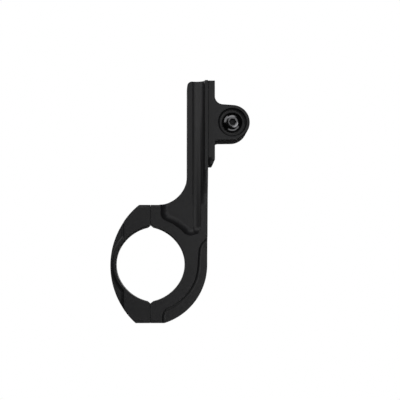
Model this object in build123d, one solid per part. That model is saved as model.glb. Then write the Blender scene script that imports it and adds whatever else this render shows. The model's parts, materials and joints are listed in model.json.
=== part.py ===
from build123d import *
import os
from math import atan2, cos, degrees, radians, sin, sqrt, tan

# Camera mount for a bicycle handlebar, in millimetres.
# X runs from the clamp cap towards the camera adapter, Z runs up the arm,
# Y runs along the handlebar, and the origin is on the bar's axis at the middle of the clamp.
# The side that faces -Y is called near, and the side that faces +Y is called far.
os.makedirs("parts", exist_ok=True)

# Handlebar bore, shared by the two halves of the clamp
bar_d = 31.8
seat_deg = 30.0
bore_half_h = 17.4
notch_tip_z = 18.2
notch_slope_deg = 39.0
notch_reach = 3.7
split_gap = 0.1

# Clamp lugs and rings
ring_w = 15.0
lug_over_screw = 4.6
lug_edge_r = 1.2
strap_t = 2.4
cap_top_x = 5.2
cap_foot_x = 6.6
cap_back_drop = 1.2
body_right_x = 26.05
body_foot_x = 6.5
body_back_drop = 0.5

# Arm, a T section with a full width flange and a thinner web
arm_left_x = 16.8
flange_x = 26.3
arm_top_z = 84.65
arm_root_r = 13.8
arm_corner_r = 2.2
flange_w = 20.0
blend_top_z = 43.0
arm_end_edge_r = 0.8

# Pocket that leaves the web, and the round groove along the flange
web_t = 10.3
groove_web_t = 9.5
pocket_r = 4.0
post_x = 4.2
band_r = 20.4
post_corner_r = 4.3
pocket_end_r = 4.8
flange_wall_t = 1.4
flange_foot_t = 2.9
wall_blend_z = 31.0
wall_blend_top_z = 42.0

# Stepped rims outside the ring band
shelf_depth = 1.6
shelf_floor_r = 1.5
shelf_r = 21.5
shelf_foot_x = 5.4
shelf_foot_r = 5.0
shelf_lean_deg = 4.2
shelf_head_z = 8.2
shelf_head_slope_deg = 47.0
shelf_head_r = 7.0
cap_shelf_x = 12.0
cap_shelf_band_t = 1.1
cap_shelf_corner_r = 2.0

# Clamp screws, M4 socket head cap screws with a 3 mm key
screw_from_bore = 6.5
m4_r = 2.0
m4_head_r = 3.5
m4_head_h = 4.0
m4_head_chamfer = 0.35
m4_key = 3.0
m4_key_depth = 2.0
clamp_screw_len = 12.0
cap_seat_t = 2.75
clamp_tap_spare = 1.3
m4_clearance = 0.1
m4_head_clearance = 0.15

# Camera adapter, a plate with three fingers
plate_t = 3.2
plate_w = 17.8
plate_bottom_z = 45.65
plate_top_r = 1.0
plate_bottom_r = 3.2
plate_bevel_h = 2.2
plate_bevel_t = 1.1
seam_chamfer = 0.25
pivot_x = 37.6
pivot_z = 65.2
finger_r = 8.0
finger_top_r = 3.8
finger_top_slope_deg = 4.0
finger_bottom_r = 2.2
finger_bottom_slope_deg = 1.0
mid_finger_t = 3.0
finger_slot = 3.2
finger_edge = 0.4
dish_r = 6.7
dish_depth = 1.9
dish_floor_r = 1.4

# Pivot screw, an M5 button head screw with a 3 mm key, and its nut
m5_r = 2.5
m5_head_r = 4.75
m5_head_h = 2.75
m5_head_lip = 0.5
m5_flat_r = 1.9
m5_key = 3.0
m5_key_depth = 1.6
m5_tip_chamfer = 0.5
pivot_screw_len = 16.0
pivot_clearance = 0.1
nut_key = 8.0
nut_h = 4.0
nut_pocket_depth = 3.2
nut_clearance = 0.04
nut_chamfer = 0.4

# Adapter screws, M3 countersunk screws with a 2 mm key
m3_r = 1.5
m3_head_r = 2.9
m3_head_lip = 0.2
m3_key = 2.0
m3_key_depth = 1.2
adapter_screw_len = 8.0
adapter_screw_top = 3.55
adapter_screw_low = 6.3
adapter_tap_spare = 0.8
m3_clearance = 0.1
thread_clearance = 0.05
cut_over = 6.0

bar_r = bar_d / 2
clamp_screw_z = bar_r + screw_from_bore
lug_half_h = clamp_screw_z + lug_over_screw
ring_half = ring_w / 2
flange_half = flange_w / 2
split_x = split_gap / 2
plate_x = flange_x + plate_t
plate_half = plate_w / 2
finger_outer_y = plate_half
finger_inner_y = mid_finger_t / 2 + finger_slot
clamp_seat_x = -split_x - cap_seat_t
cap_clear_x = -bar_r - strap_t - cut_over
dish_y = -finger_outer_y + dish_depth
nut_seat_y = finger_outer_y - nut_pocket_depth
adapter_screw_z = (arm_top_z - adapter_screw_top, plate_bottom_z + adapter_screw_low)
beyond = 2 * (arm_top_z + lug_half_h)


def front_slab(face, y_near, y_far):
    """A face drawn as X and Z, made solid between two values of Y."""
    return extrude(Plane.XZ.offset(-y_far) * face, amount=y_far - y_near)


def side_slab(face, x_left, x_right):
    """A face drawn as Y and Z, made solid between two values of X."""
    return extrude(Plane.YZ.offset(x_left) * face, amount=x_right - x_left)


def rod_x(radius, x_left, x_right, z):
    """A round bar along X."""
    return side_slab(Pos(0, z) * Circle(radius), x_left, x_right)


def rod_y(radius, y_near, y_far):
    """A round bar along Y, on the camera's pivot axis."""
    return front_slab(Pos(pivot_x, pivot_z) * Circle(radius), y_near, y_far)


def hexagon(key):
    """A hexagon with the given distance across its flats."""
    return RegularPolygon(key / 2, 6, major_radius=False)


def both_sides(near):
    """A shape on the near side together with its mirror image on the far side."""
    return [near, mirror(near, about=Plane.XZ)]


def s_curve(start, end):
    """Two equal arcs from one upright line to another."""
    middle = ((start[0] + end[0]) / 2, (start[1] + end[1]) / 2)
    lower = TangentArc(start, middle, tangent=(0, 1))
    upper = TangentArc(end, middle, tangent=(0, -1))
    return [lower, upper]


def bore_face():
    """The oval bore: round seats left and right, easing out towards the split, with a V at each end."""
    lean = radians(seat_deg)
    ease = (bore_half_h**2 - bar_r**2) / (2 * (bar_r - bore_half_h * sin(lean)))
    centre = (-ease * cos(lean), -ease * sin(lean))
    top_deg = degrees(atan2(bore_half_h - centre[1], -centre[0]))
    seat = CenterArc((0, 0), bar_r, -seat_deg, 2 * seat_deg)
    upper = CenterArc(centre, bar_r + ease, seat_deg, top_deg - seat_deg)
    lower = mirror(upper, about=Plane.XZ)
    side = make_face([seat, upper, lower, Line((0, -bore_half_h), (0, bore_half_h))])
    drop = notch_reach * tan(radians(notch_slope_deg))
    base_z = notch_tip_z - drop
    notch = make_face(Polyline((0, notch_tip_z), (notch_reach, base_z), (-notch_reach, base_z), close=True))
    return side + mirror(side, about=Plane.YZ) + notch + mirror(notch, about=Plane.XZ)


def bore_cutter():
    return front_slab(bore_face(), -flange_w, flange_w)


def lug_rounding(z_sign):
    """What rounds off the near and far edges of a lug's flat end, as a bar along X."""
    corner = Pos(ring_half - lug_edge_r, z_sign * (lug_half_h - lug_edge_r))
    square = corner * Rectangle(2 * cut_over, 2 * cut_over, align=(Align.MIN, Align.MIN))
    if z_sign < 0:
        square = corner * Rectangle(2 * cut_over, 2 * cut_over, align=(Align.MIN, Align.MAX))
    waste = square - corner * Circle(lug_edge_r)
    return waste + mirror(waste, about=Plane.YZ)


def cap_outline():
    """The cap seen from the near side: a long round back between two flat lug ends."""
    top = (-cap_top_x, lug_half_h)
    low = (-cap_foot_x, -lug_half_h)
    back = ThreePointArc(top, (-bar_r - strap_t, -cap_back_drop), low)
    front = Polyline(low, (-split_x, -lug_half_h), (-split_x, lug_half_h), top)
    return make_face([back, front])


def floor_cutter(face, floor_y, floor_r):
    """A pocket cutter with its floor at a depth on the near side and a rounded foot all round."""
    cutter = front_slab(face, -flange_w, -floor_y)
    floor_edges = cutter.faces().sort_by(Axis.Y)[-1].edges()
    return fillet(floor_edges, floor_r)


def cap_shelf_face():
    """The stepped rim of the cap: left of an upright line and outside a band round the bore."""
    strip = Pos(-cap_shelf_x, 0) * Rectangle(beyond, beyond, align=(Align.MAX, Align.CENTER))
    band_outer_r = bar_r + cap_shelf_band_t
    shelf = strip - Circle(band_outer_r)
    corners = shelf.vertices().filter_by(lambda corner: abs(corner.Y) < band_outer_r)
    return fillet(corners, cap_shelf_corner_r)


def clamp_cap():
    cap = front_slab(cap_outline(), -ring_half, ring_half) - bore_cutter()
    shelf = floor_cutter(cap_shelf_face(), ring_half - shelf_depth, shelf_floor_r)
    cap -= both_sides(shelf)
    for z_sign in (1, -1):
        cap -= side_slab(lug_rounding(z_sign), cap_clear_x, 0)
        axis_z = z_sign * clamp_screw_z
        cap -= rod_x(m4_r + m4_clearance, cap_clear_x, 0, axis_z)
        cap -= rod_x(m4_head_r + m4_head_clearance, cap_clear_x, clamp_seat_x, axis_z)
    return cap


def body_outline():
    """The arm and its half of the clamp, seen from the near side."""
    root = CenterArc((arm_left_x - arm_root_r, lug_half_h + arm_root_r), arm_root_r, -90, 90)
    corner = CenterArc((arm_left_x + arm_corner_r, arm_top_z - arm_corner_r), arm_corner_r, 90, 90)
    side_end = (body_right_x, -body_back_drop)
    foot = (body_foot_x, -lug_half_h)
    back = TangentArc(side_end, foot, tangent=(0, -1))
    upper = Polyline(corner @ 0, (flange_x, arm_top_z), (flange_x, blend_top_z), side_end)
    lower = Polyline(foot, (split_x, -lug_half_h), (split_x, lug_half_h), root @ 0)
    return make_face([root, Line(root @ 1, corner @ 1), corner, upper, back, lower])


def body_profile():
    """The widths of the arm and its half of the clamp, seen along X."""
    bottom = CenterArc((ring_half - lug_edge_r, lug_edge_r - lug_half_h), lug_edge_r, -90, 90)
    top = CenterArc((flange_half - arm_end_edge_r, arm_top_z - arm_end_edge_r), arm_end_edge_r, 0, 90)
    blend = s_curve((ring_half, lug_half_h), (flange_half, blend_top_z))
    rise = [Line(bottom @ 1, (ring_half, lug_half_h)), *blend, Line((flange_half, blend_top_z), top @ 0)]
    middle = Polyline(top @ 1, (0, arm_top_z), (0, -lug_half_h), bottom @ 0)
    half = make_face([bottom, *rise, top, middle])
    return half + mirror(half, about=Plane.YZ)


def corner_centre(wall_x, side, corner_r, ring_r):
    """Where an arc of corner_r touches an upright wall and the outside of a circle round the bar's axis."""
    x = wall_x + side * corner_r
    return x, sqrt((ring_r + corner_r) ** 2 - x**2)


def web_pocket_face():
    """The pocket beside the flange: down the post, round the ring band and up the flange."""
    post_c = corner_centre(post_x, 1, post_corner_r, band_r)
    foot_x = body_right_x - flange_foot_t
    end_c = corner_centre(foot_x, -1, pocket_end_r, band_r)
    wall_x = flange_x - flange_wall_t
    post_deg = degrees(atan2(post_c[1], post_c[0]))
    end_deg = degrees(atan2(end_c[1], end_c[0]))
    corner = CenterArc(post_c, post_corner_r, 180, post_deg)
    band = CenterArc((0, 0), band_r, end_deg, post_deg - end_deg)
    end = CenterArc(end_c, pocket_end_r, 180 + end_deg, 180 - end_deg)
    low = (foot_x, wall_blend_z)
    high = (wall_x, wall_blend_top_z)
    rest = Polyline(high, (wall_x, beyond), (post_x, beyond), corner @ 0)
    return make_face([corner, band, end, Line(end @ 1, low), *s_curve(low, high), rest])


def flange_groove():
    """The round groove beside the flange, with a ball at its end and trimmed to the pocket."""
    foot_x = body_right_x - flange_foot_t
    end_z = corner_centre(foot_x, -1, pocket_end_r, band_r)[1]
    upright = Cylinder(pocket_r, beyond, align=(Align.CENTER, Align.CENTER, Align.MIN))
    groove = upright + Sphere(pocket_r)
    centre_x = flange_x - flange_wall_t - pocket_r
    groove = Pos(centre_x, -groove_web_t / 2 - pocket_r, end_z) * groove
    return groove & front_slab(web_pocket_face(), -flange_w, 0)


def body_shelf_face():
    """The stepped rim outside the ring band, from the flange's foot round to the lower lug."""
    foot_c = corner_centre(shelf_foot_x, 1, shelf_foot_r, shelf_r)
    foot_deg = degrees(atan2(foot_c[1], foot_c[0]))
    foot = CenterArc((foot_c[0], -foot_c[1]), shelf_foot_r, 180 - foot_deg, foot_deg)
    band = CenterArc((0, 0), shelf_r, -foot_deg, foot_deg - shelf_lean_deg)
    lean = radians(shelf_lean_deg)
    rise = shelf_head_z - (band @ 1).Y
    head = ((band @ 1).X + rise * tan(lean), shelf_head_z)
    run = flange_x + cut_over - head[0]
    out = (head[0] + run, head[1] + run * tan(radians(shelf_head_slope_deg)))
    upper = FilletPolyline(band @ 1, head, out, radius=shelf_head_r)
    rest = Polyline(out, (out[0], -beyond), (shelf_foot_x, -beyond), foot @ 1)
    return make_face([foot, band, *upper.edges(), rest])


def arm_body():
    solid = front_slab(body_outline(), -flange_half, flange_half)
    solid = solid & side_slab(body_profile(), -bar_r, beyond)
    solid -= bore_cutter()
    pocket = floor_cutter(web_pocket_face(), web_t / 2, pocket_r)
    solid -= both_sides(pocket)
    solid -= both_sides(flange_groove())
    shelf = floor_cutter(body_shelf_face(), ring_half - shelf_depth, shelf_floor_r)
    solid -= both_sides(shelf)
    solid -= side_slab(lug_rounding(1), 0, post_x)
    screw_end = clamp_seat_x + clamp_screw_len + clamp_tap_spare
    for z_sign in (1, -1):
        solid -= rod_x(m4_r + thread_clearance, 0, screw_end, z_sign * clamp_screw_z)
    for z in adapter_screw_z:
        screw_tip = plate_x - adapter_screw_len - adapter_tap_spare
        solid -= rod_x(m3_r + thread_clearance, screw_tip, plate_x, z)
    return solid


def plate():
    """The flat plate, with round corners, a bevelled lower end and a fine chamfer at its seam."""
    top = arm_top_z
    side = make_face([
        Line((0, plate_bottom_z), (plate_half - plate_bottom_r, plate_bottom_z)),
        CenterArc((plate_half - plate_bottom_r, plate_bottom_z + plate_bottom_r), plate_bottom_r, -90, 90),
        Line((plate_half, plate_bottom_z + plate_bottom_r), (plate_half, top - plate_top_r)),
        CenterArc((plate_half - plate_top_r, top - plate_top_r), plate_top_r, 0, 90),
        Polyline((plate_half - plate_top_r, top), (0, top), (0, plate_bottom_z)),
    ])
    slab = side_slab(side + mirror(side, about=Plane.YZ), flange_x, plate_x)
    slab = chamfer(slab.faces().sort_by(Axis.X)[0].edges(), seam_chamfer)
    bevel_over = plate_bevel_t * cut_over / plate_bevel_h
    bevel = make_face(Polyline(
        (plate_x + bevel_over, plate_bottom_z + plate_bevel_h + cut_over),
        (plate_x - plate_bevel_t - bevel_over, plate_bottom_z - cut_over),
        (plate_x + cut_over, plate_bottom_z - cut_over),
        close=True,
    ))
    return slab - front_slab(bevel, -plate_w, plate_w)


def finger_fillet(radius, slope_deg):
    """The fillet from the plate to a finger's sloping top edge, drawn about the pivot's height."""
    slope = radians(slope_deg)
    rise = finger_r + radius + (pivot_x - plate_x - radius) * sin(slope)
    return CenterArc((plate_x + radius, rise / cos(slope)), radius, 180, 90 - slope_deg)


def finger_outline():
    """A finger seen from the near side, widening from its round nose to its fillets on the plate."""
    over = plate_t / 2
    top = finger_fillet(finger_top_r, finger_top_slope_deg)
    low = mirror(finger_fillet(finger_bottom_r, finger_bottom_slope_deg), about=Plane.XZ)
    nose_from = finger_bottom_slope_deg - 90
    nose = CenterArc((pivot_x, 0), finger_r, nose_from, 90 - finger_top_slope_deg - nose_from)
    root = Polyline(top @ 0, (plate_x - over, (top @ 0).Y), (plate_x - over, (low @ 0).Y), low @ 0)
    edges = [top, Line(top @ 1, nose @ 1), nose, Line(nose @ 0, low @ 1), low, root]
    return Pos(0, pivot_z) * make_face(edges)


def outer_finger(y_near, y_far):
    """A finger with the edge of its outer face broken by a chamfer."""
    finger = front_slab(finger_outline(), y_near, y_far)
    outer = finger.faces().sort_by(Axis.Y)
    outer = outer[0] if y_near < 0 else outer[-1]
    rim = outer.edges().filter_by(lambda edge: edge.center().X > plate_x)
    return chamfer(rim, finger_edge)


def dish():
    """The round dish that the pivot screw's head lies in."""
    cutter = rod_y(dish_r, -plate_w, dish_y)
    return fillet(cutter.faces().sort_by(Axis.Y)[-1].edges(), dish_floor_r)


def camera_adapter():
    adapter = plate()
    adapter += outer_finger(-finger_outer_y, -finger_inner_y)
    adapter += front_slab(finger_outline(), -mid_finger_t / 2, mid_finger_t / 2)
    adapter += outer_finger(finger_inner_y, finger_outer_y)
    adapter -= dish()
    adapter -= rod_y(m5_r + pivot_clearance, -plate_w, plate_w)
    nut_hole = Pos(pivot_x, pivot_z) * hexagon(nut_key + 2 * nut_clearance)
    adapter -= front_slab(nut_hole, nut_seat_y, plate_w)
    for z in adapter_screw_z:
        adapter -= rod_x(m3_r + m3_clearance, 0, plate_x + plate_t, z)
        adapter -= Pos(plate_x, 0, z) * Rot(0, 90, 0) * countersunk(m3_clearance, plate_t)
    return adapter


def countersunk(spare, lip_over):
    """A 90 degree screw head below the plane Z = 0, grown by a clearance, with its lip carried above."""
    radius = m3_head_r + spare
    shank = m3_r
    profile = Polyline(
        (0, lip_over), (radius, lip_over), (radius, -m3_head_lip),
        (shank, -m3_head_lip - (radius - shank)), (0, -m3_head_lip - (radius - shank)), close=True,
    )
    return revolve(Plane.XZ * make_face(profile), axis=Axis.Z)


def shank(radius, length):
    """A screw's shank from Z = 0 down."""
    return Cylinder(radius, length, align=(Align.CENTER, Align.CENTER, Align.MAX))


def key_socket(key, depth, top_z):
    """The hexagon hole for the key, sunk from a screw's top."""
    return extrude(Pos(0, 0, top_z - depth) * hexagon(key), amount=2 * depth)


def socket_cap_screw():
    """An M4 socket head cap screw with its seat at Z = 0."""
    head = Cylinder(m4_head_r, m4_head_h, align=(Align.CENTER, Align.CENTER, Align.MIN))
    head = chamfer(head.edges().sort_by(Axis.Z)[-1], m4_head_chamfer)
    screw = head + shank(m4_r, clamp_screw_len)
    return screw - key_socket(m4_key, m4_key_depth, m4_head_h)


def button_screw():
    """An M5 button head screw with its seat at Z = 0 and a chamfered tip."""
    lip = (m5_head_r, m5_head_lip)
    flat = (m5_flat_r, m5_head_h)
    dome = TangentArc(flat, lip, tangent=(1, 0))
    rest = Polyline(lip, (m5_head_r, 0), (0, 0), (0, m5_head_h), flat)
    head = revolve(Plane.XZ * make_face([dome, rest]), axis=Axis.Z)
    screw = head + shank(m5_r, pivot_screw_len)
    screw = chamfer(screw.edges().sort_by(Axis.Z)[0], m5_tip_chamfer)
    return screw - key_socket(m5_key, m5_key_depth, m5_head_h)


def countersunk_screw():
    """An M3 countersunk screw with the top of its head at Z = 0."""
    screw = countersunk(0, 0) + shank(m3_r, adapter_screw_len)
    return screw - key_socket(m3_key, m3_key_depth, 0)


def clamp_screw(z_sign):
    """A clamp screw in its place: its head in the cap, pointing along +X into the arm."""
    return Pos(clamp_seat_x, 0, z_sign * clamp_screw_z) * Rot(0, -90, 0) * socket_cap_screw()


def pivot_screw():
    """The pivot screw in its place: its head in the dish on the near side."""
    return Pos(pivot_x, dish_y, pivot_z) * Rot(90, 0, 0) * button_screw()


def adapter_screw(z):
    """An adapter screw in its place: flush in the plate, pointing along -X into the arm."""
    return Pos(plate_x, 0, z) * Rot(0, 90, 0) * countersunk_screw()


def pivot_nut():
    """The hexagon nut held in the far finger."""
    blank = front_slab(hexagon(nut_key), 0, nut_h)
    corner_r = nut_key / sqrt(3)
    cone = Cylinder(corner_r, nut_h)
    cone = chamfer(cone.edges().sort_by(Axis.Z)[0], nut_chamfer)
    cone = Pos(0, nut_h / 2, 0) * Rot(90, 0, 0) * cone
    nut = (blank & cone) - front_slab(Circle(m5_r + thread_clearance), -nut_h, 2 * nut_h)
    return Pos(pivot_x, nut_seat_y, pivot_z) * nut


nodes = {
    "arm_body": arm_body(),
    "clamp_cap": clamp_cap(),
    "clamp_screw_top": clamp_screw(1),
    "clamp_screw_bottom": clamp_screw(-1),
    "camera_adapter": camera_adapter(),
    "adapter_screw_upper": adapter_screw(adapter_screw_z[0]),
    "adapter_screw_lower": adapter_screw(adapter_screw_z[1]),
    "pivot_screw": pivot_screw(),
    "pivot_nut": pivot_nut(),
}

for name, shape in nodes.items():
    export_step(shape, f"parts/{name}.step")
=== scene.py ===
import json
import math

import bpy
from mathutils import Matrix, Vector


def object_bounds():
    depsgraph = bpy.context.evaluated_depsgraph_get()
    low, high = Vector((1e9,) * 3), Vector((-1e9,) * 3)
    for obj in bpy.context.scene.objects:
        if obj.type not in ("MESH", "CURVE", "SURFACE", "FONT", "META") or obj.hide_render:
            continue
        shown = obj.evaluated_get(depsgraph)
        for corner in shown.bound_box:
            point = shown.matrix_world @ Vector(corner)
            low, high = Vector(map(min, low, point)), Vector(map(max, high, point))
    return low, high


# A black anodised camera mount for a handlebar, held upright in front of a white background.
# Lengths are in metres, in the part's own frame: X to the adapter, Y along the bar, Z up the arm.
MM = 0.001
BLACK = (0, 0, 0, 1)
WHITE = (1, 1, 1, 1)

# Camera, half a metre from the near side, a little below the bar and aimed at the middle of the part
CAMERA_AT = Vector((5.0, -507.5, -10.0)) * MM
CAMERA_TO = Vector((22.66, -7.5, 29.22)) * MM
CAMERA_LENS = 98.39
CAMERA_SENSOR = 36.0
CAMERA_NEAR = 10 * MM

# Floor, as far down as the ground is under a handlebar
FLOOR_DROP = 950 * MM
FLOOR_SIZE = 1.3
FLOOR_COLOUR = (0.8, 0.8, 0.8)
FLOOR_GLOW = 0.85

# World, dim all round, with a white background that reflections show within this angle of its middle
WORLD_LEVEL = 0.01
BACKGROUND_ANGLE = math.radians(7)

# Softboxes, all equally far from the part, as name, angle from the front, angle round the view from the
# right, width and length as the part sees them, and brightness. Angles and sizes are in degrees.
LIGHT_REACH = 1.3
LIGHT_AIM = Vector((20.0, 0.0, 30.0)) * MM
SOFTBOXES = (
    ("front_right", 20, 345, 28, 28, 3.1),
    ("front_upper", 20, 72, 24, 24, 1.2),
    ("above", 42, 97, 46, 28, 2.1),
    ("upper_left", 68, 146, 48, 58, 1.4),
    ("lower_right", 62, 318, 30, 34, 1.0),
    ("back_right", 140, 40, 40, 40, 1.4),
    ("back_left", 140, 140, 40, 40, 1.4),
)

# Noise in the finishes, with scales in features a metre: large blotches, smaller smears and a fine grain
BLOTCH_SCALE = 90.0
BLOTCH_DETAIL = 3.0
SMEAR_SCALE = 260.0
SMEAR_DETAIL = 4.0
SMEAR_RANGE = (0.3, 0.7)
GRAIN_DETAIL = 2.0

# Painted shade in each screw's socket, darker than the polished head: how far round to look, and the tone
# for how open it is
SOCKET_REACH = 2.5 * MM
SOCKET_OPENNESS = (0.5, 0.85)
SOCKET_SHADE_TONE = (0.05, 1.0)
SOCKET_SAMPLES = 12

# Edge breaks on the machined pieces, held back on those that have very short edges
MACHINED = ("arm_body", "clamp_cap", "camera_adapter")
SHORT_EDGED = ("arm_body", "camera_adapter")
EDGE_BREAK = 0.18 * MM
EDGE_SEGMENTS = 2
EDGE_ANGLE = math.radians(57)
WELD_GAP = 0.002 * MM


def feed(links, source, socket):
    """Sets a socket from another node's output, or from a plain value."""
    if isinstance(source, bpy.types.NodeSocket):
        links.new(source, socket)
    else:
        socket.default_value = source


def calculated(nodes, links, operation, first, second):
    """The result of one operation on two values."""
    node = nodes.new("ShaderNodeMath")
    node.operation = operation
    feed(links, first, node.inputs[0])
    feed(links, second, node.inputs[1])
    return node.outputs["Value"]


def largest(nodes, links, *sources):
    """The largest of several values."""
    result = sources[0]
    for source in sources[1:]:
        result = calculated(nodes, links, "MAXIMUM", result, source)
    return result


def ramp(nodes, links, value, start, end):
    """A value taken from one range to another, each as its low and high ends."""
    node = nodes.new("ShaderNodeMapRange")
    for name, level in zip(("From Min", "From Max", "To Min", "To Max"), (*start, *end)):
        node.inputs[name].default_value = level
    links.new(value, node.inputs["Value"])
    return node.outputs["Result"]


def noise(nodes, links, where, scale, detail):
    """Soft noise between 0 and 1, mostly near the middle."""
    node = nodes.new("ShaderNodeTexNoise")
    node.inputs["Scale"].default_value = scale
    node.inputs["Detail"].default_value = detail
    links.new(where, node.inputs["Vector"])
    return node.outputs["Fac"]


def mixed_colour(nodes, links, factor, first, second):
    """A colour between two others, by a factor from 0 to 1."""
    node = nodes.new("ShaderNodeMix")
    node.data_type = "RGBA"
    feed(links, factor, node.inputs["Factor"])
    feed(links, first, node.inputs["A"])
    feed(links, second, node.inputs["B"])
    return node.outputs["Result"]


def painted_socket_shade(nodes, links, colour):
    """A colour with painted shade inside a screw's socket and other small recesses, darker where less round
    it is open.
    """
    hidden = nodes.new("ShaderNodeAmbientOcclusion")
    hidden.only_local = True
    hidden.samples = SOCKET_SAMPLES
    hidden.inputs["Distance"].default_value = SOCKET_REACH
    level = ramp(nodes, links, hidden.outputs["AO"], SOCKET_OPENNESS, SOCKET_SHADE_TONE)
    return mixed_colour(nodes, links, level, BLACK, colour)


def new_material(name):
    """A material with an empty node tree, as the material, its nodes and its links."""
    material = bpy.data.materials.new(name)
    material.use_nodes = True
    nodes = material.node_tree.nodes
    nodes.clear()
    return material, nodes, material.node_tree.links


def metal_finish(name, dark, light, metallic, specular, rough, grain_scale, grain_depth, shade_sockets=False):
    """A finish on metal with blotchy tone, uneven roughness and a fine blasted or drawn grain."""
    material, nodes, links = new_material(name)
    shader = nodes.new("ShaderNodeBsdfPrincipled")
    shader.inputs["Metallic"].default_value = metallic
    shader.inputs["Specular IOR Level"].default_value = specular
    output = nodes.new("ShaderNodeOutputMaterial")
    links.new(shader.outputs["BSDF"], output.inputs["Surface"])
    where = nodes.new("ShaderNodeTexCoord").outputs["Object"]

    blotch = noise(nodes, links, where, BLOTCH_SCALE, BLOTCH_DETAIL)
    colour = mixed_colour(nodes, links, blotch, (*dark, 1), (*light, 1))
    # Painted shade in each screw's socket and other small recesses, by how much of the surroundings is open
    if shade_sockets:
        colour = painted_socket_shade(nodes, links, colour)
    links.new(colour, shader.inputs["Base Color"])

    smear = noise(nodes, links, where, SMEAR_SCALE, SMEAR_DETAIL)
    links.new(ramp(nodes, links, smear, SMEAR_RANGE, rough), shader.inputs["Roughness"])

    grain = noise(nodes, links, where, grain_scale, GRAIN_DETAIL)
    bump = nodes.new("ShaderNodeBump")
    bump.inputs["Strength"].default_value = 1.0
    bump.inputs["Distance"].default_value = grain_depth
    links.new(grain, bump.inputs["Height"])
    links.new(bump.outputs["Normal"], shader.inputs["Normal"])
    return material


def black_anodised():
    """Bead-blasted aluminium under a black film, which reflects as a film does and not as bare metal."""
    return metal_finish(
        "black_anodised",
        dark=(0.010, 0.010, 0.011),
        light=(0.015, 0.015, 0.016),
        metallic=0.0,
        specular=0.3,
        rough=(0.36, 0.44),
        grain_scale=9000.0,
        grain_depth=0.006 * MM,
    )


def black_steel():
    """Polished screw steel with a black oxide finish, and painted shade in each socket."""
    return metal_finish(
        "black_steel",
        dark=(0.098, 0.098, 0.101),
        light=(0.116, 0.116, 0.120),
        metallic=1.0,
        specular=0.5,
        rough=(0.13, 0.19),
        grain_scale=5000.0,
        grain_depth=0.001 * MM,
        shade_sockets=True,
    )


def plain_steel():
    """Zinc-plated steel, for the nut."""
    return metal_finish(
        "plain_steel",
        dark=(0.42, 0.42, 0.43),
        light=(0.55, 0.55, 0.56),
        metallic=1.0,
        specular=0.5,
        rough=(0.25, 0.38),
        grain_scale=4000.0,
        grain_depth=0.002 * MM,
    )


def pale_floor():
    """A matt floor that keeps its shadow and glows near white where it is seen, directly or reflected."""
    material, nodes, links = new_material("pale_floor")
    matt = nodes.new("ShaderNodeBsdfDiffuse")
    matt.inputs["Color"].default_value = (*FLOOR_COLOUR, 1)
    path = nodes.new("ShaderNodeLightPath").outputs
    seen = largest(nodes, links, path["Is Camera Ray"], path["Is Glossy Ray"], path["Is Transmission Ray"])
    glow = nodes.new("ShaderNodeEmission")
    links.new(ramp(nodes, links, seen, (0.0, 1.0), (0.0, FLOOR_GLOW)), glow.inputs["Strength"])
    both = nodes.new("ShaderNodeAddShader")
    links.new(matt.outputs["BSDF"], both.inputs[0])
    links.new(glow.outputs["Emission"], both.inputs[1])
    output = nodes.new("ShaderNodeOutputMaterial")
    links.new(both.outputs["Shader"], output.inputs["Surface"])
    return material


def make_floor(height):
    """A level square under the part, as part of the stage."""
    mesh = bpy.data.meshes.new("floor")
    half = FLOOR_SIZE / 2
    corners = [(-half, -half, 0), (half, -half, 0), (half, half, 0), (-half, half, 0)]
    mesh.from_pydata(corners, [], [(0, 1, 2, 3)])
    obj = bpy.data.objects.new("floor", mesh)
    obj.location = (LIGHT_AIM.x, 0, height)
    obj.data.materials.append(pale_floor())
    bpy.context.scene.collection.objects.link(obj)


def make_world():
    """White where it is seen directly or through glass, and as the part's background in a reflection.

    The background's middle is a fixed direction, along the camera's aim, and all else is dim.
    """
    world = bpy.data.worlds.new("studio")
    world.use_nodes = True
    bpy.context.scene.world = world
    nodes = world.node_tree.nodes
    links = world.node_tree.links
    nodes.clear()

    facing = nodes.new("ShaderNodeVectorMath")
    facing.operation = "DOT_PRODUCT"
    links.new(nodes.new("ShaderNodeTexCoord").outputs["Generated"], facing.inputs[0])
    facing.inputs[1].default_value = (CAMERA_TO - CAMERA_AT).normalized()
    behind = calculated(nodes, links, "GREATER_THAN", facing.outputs["Value"], math.cos(BACKGROUND_ANGLE))
    path = nodes.new("ShaderNodeLightPath").outputs
    mirrored = calculated(nodes, links, "MULTIPLY", behind, path["Is Glossy Ray"])
    seen = largest(nodes, links, path["Is Camera Ray"], path["Is Transmission Ray"], mirrored)

    dim = nodes.new("ShaderNodeBackground")
    dim.inputs["Color"].default_value = (WORLD_LEVEL, WORLD_LEVEL, WORLD_LEVEL, 1)
    white = nodes.new("ShaderNodeBackground")
    white.inputs["Color"].default_value = WHITE
    mix = nodes.new("ShaderNodeMixShader")
    links.new(seen, mix.inputs["Fac"])
    links.new(dim.outputs["Background"], mix.inputs[1])
    links.new(white.outputs["Background"], mix.inputs[2])
    output = nodes.new("ShaderNodeOutputWorld")
    links.new(mix.outputs["Shader"], output.inputs["Surface"])


def make_camera():
    """The camera, upright and aimed at the middle of the part."""
    data = bpy.data.cameras.new("camera")
    data.sensor_width = CAMERA_SENSOR
    data.lens = CAMERA_LENS
    data.clip_start = CAMERA_NEAR
    obj = bpy.data.objects.new("camera", data)
    obj.location = CAMERA_AT
    obj.rotation_euler = (CAMERA_TO - CAMERA_AT).to_track_quat("-Z", "Y").to_euler()
    bpy.context.scene.collection.objects.link(obj)
    bpy.context.scene.camera = obj


def light_size(degrees):
    """The width of a light that the part sees as this many degrees wide."""
    return 2 * LIGHT_REACH * math.tan(math.radians(degrees / 2))


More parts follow.
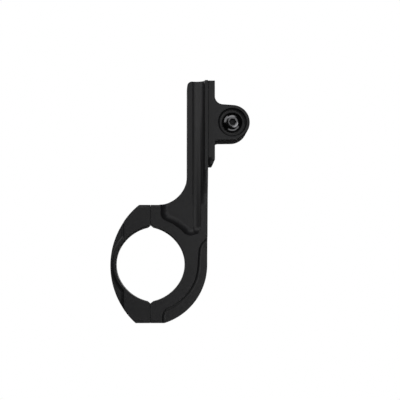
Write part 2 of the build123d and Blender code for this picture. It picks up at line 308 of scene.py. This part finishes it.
def softbox(name, polar, azimuth, width, length, brightness):
    """A soft light that faces the part, with its length along the arc from the front."""
    polar = math.radians(polar)
    azimuth = math.radians(azimuth)
    front = Vector((0, -1, 0))
    side = Vector((math.cos(azimuth), 0, math.sin(azimuth)))
    out = math.cos(polar) * front + math.sin(polar) * side
    along = math.cos(polar) * side - math.sin(polar) * front

    light = bpy.data.lights.new(name, "AREA")
    light.shape = "ELLIPSE"
    light.size = light_size(width)
    light.size_y = light_size(length)
    area = math.pi * light.size * light.size_y / 4
    light.energy = brightness * math.pi * area
    obj = bpy.data.objects.new(name, light)
    facing = Matrix((along.cross(out), along, out)).transposed().to_4x4()
    obj.matrix_world = Matrix.Translation(LIGHT_AIM + LIGHT_REACH * out) @ facing
    bpy.context.scene.collection.objects.link(obj)


def paint(obj, material):
    """Gives a node one material all over."""
    obj.data.materials.clear()
    obj.data.materials.append(material)


def break_edges(obj, held_back):
    """A narrow rounded edge on a machined node, as modifiers, over faces that are first welded together."""
    weld = obj.modifiers.new("weld", "WELD")
    weld.merge_threshold = WELD_GAP
    bevel = obj.modifiers.new("edge_break", "BEVEL")
    bevel.width = EDGE_BREAK
    bevel.segments = EDGE_SEGMENTS
    bevel.limit_method = "ANGLE"
    bevel.angle_limit = EDGE_ANGLE
    bevel.harden_normals = True
    bevel.use_clamp_overlap = held_back


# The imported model, and its own box before anything is added
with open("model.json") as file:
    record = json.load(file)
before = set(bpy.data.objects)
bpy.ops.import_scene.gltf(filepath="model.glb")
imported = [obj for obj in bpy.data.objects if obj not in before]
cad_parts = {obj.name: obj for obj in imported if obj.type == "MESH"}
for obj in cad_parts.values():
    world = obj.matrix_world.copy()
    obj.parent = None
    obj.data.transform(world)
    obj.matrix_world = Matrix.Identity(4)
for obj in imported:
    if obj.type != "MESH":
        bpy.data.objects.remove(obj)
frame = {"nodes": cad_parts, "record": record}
cad_low, cad_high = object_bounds()

# Camera, background and light
bpy.context.scene.view_settings.view_transform = "Standard"
make_camera()
make_world()
make_floor(cad_low.z - FLOOR_DROP)
for box in SOFTBOXES:
    softbox(*box)

# Finishes, by the material slot that the record gives each node
finishes = {"black_anodised": black_anodised(), "black_steel": black_steel(), "plain_steel": plain_steel()}
slots = {part["node"]: part["material_slot"] for part in frame["record"]["subparts"]}
for name, node in frame["nodes"].items():
    paint(node, finishes[slots[name]])

# Edge breaks, which leave the box as it was
for name in MACHINED:
    break_edges(frame["nodes"][name], name in SHORT_EDGED)
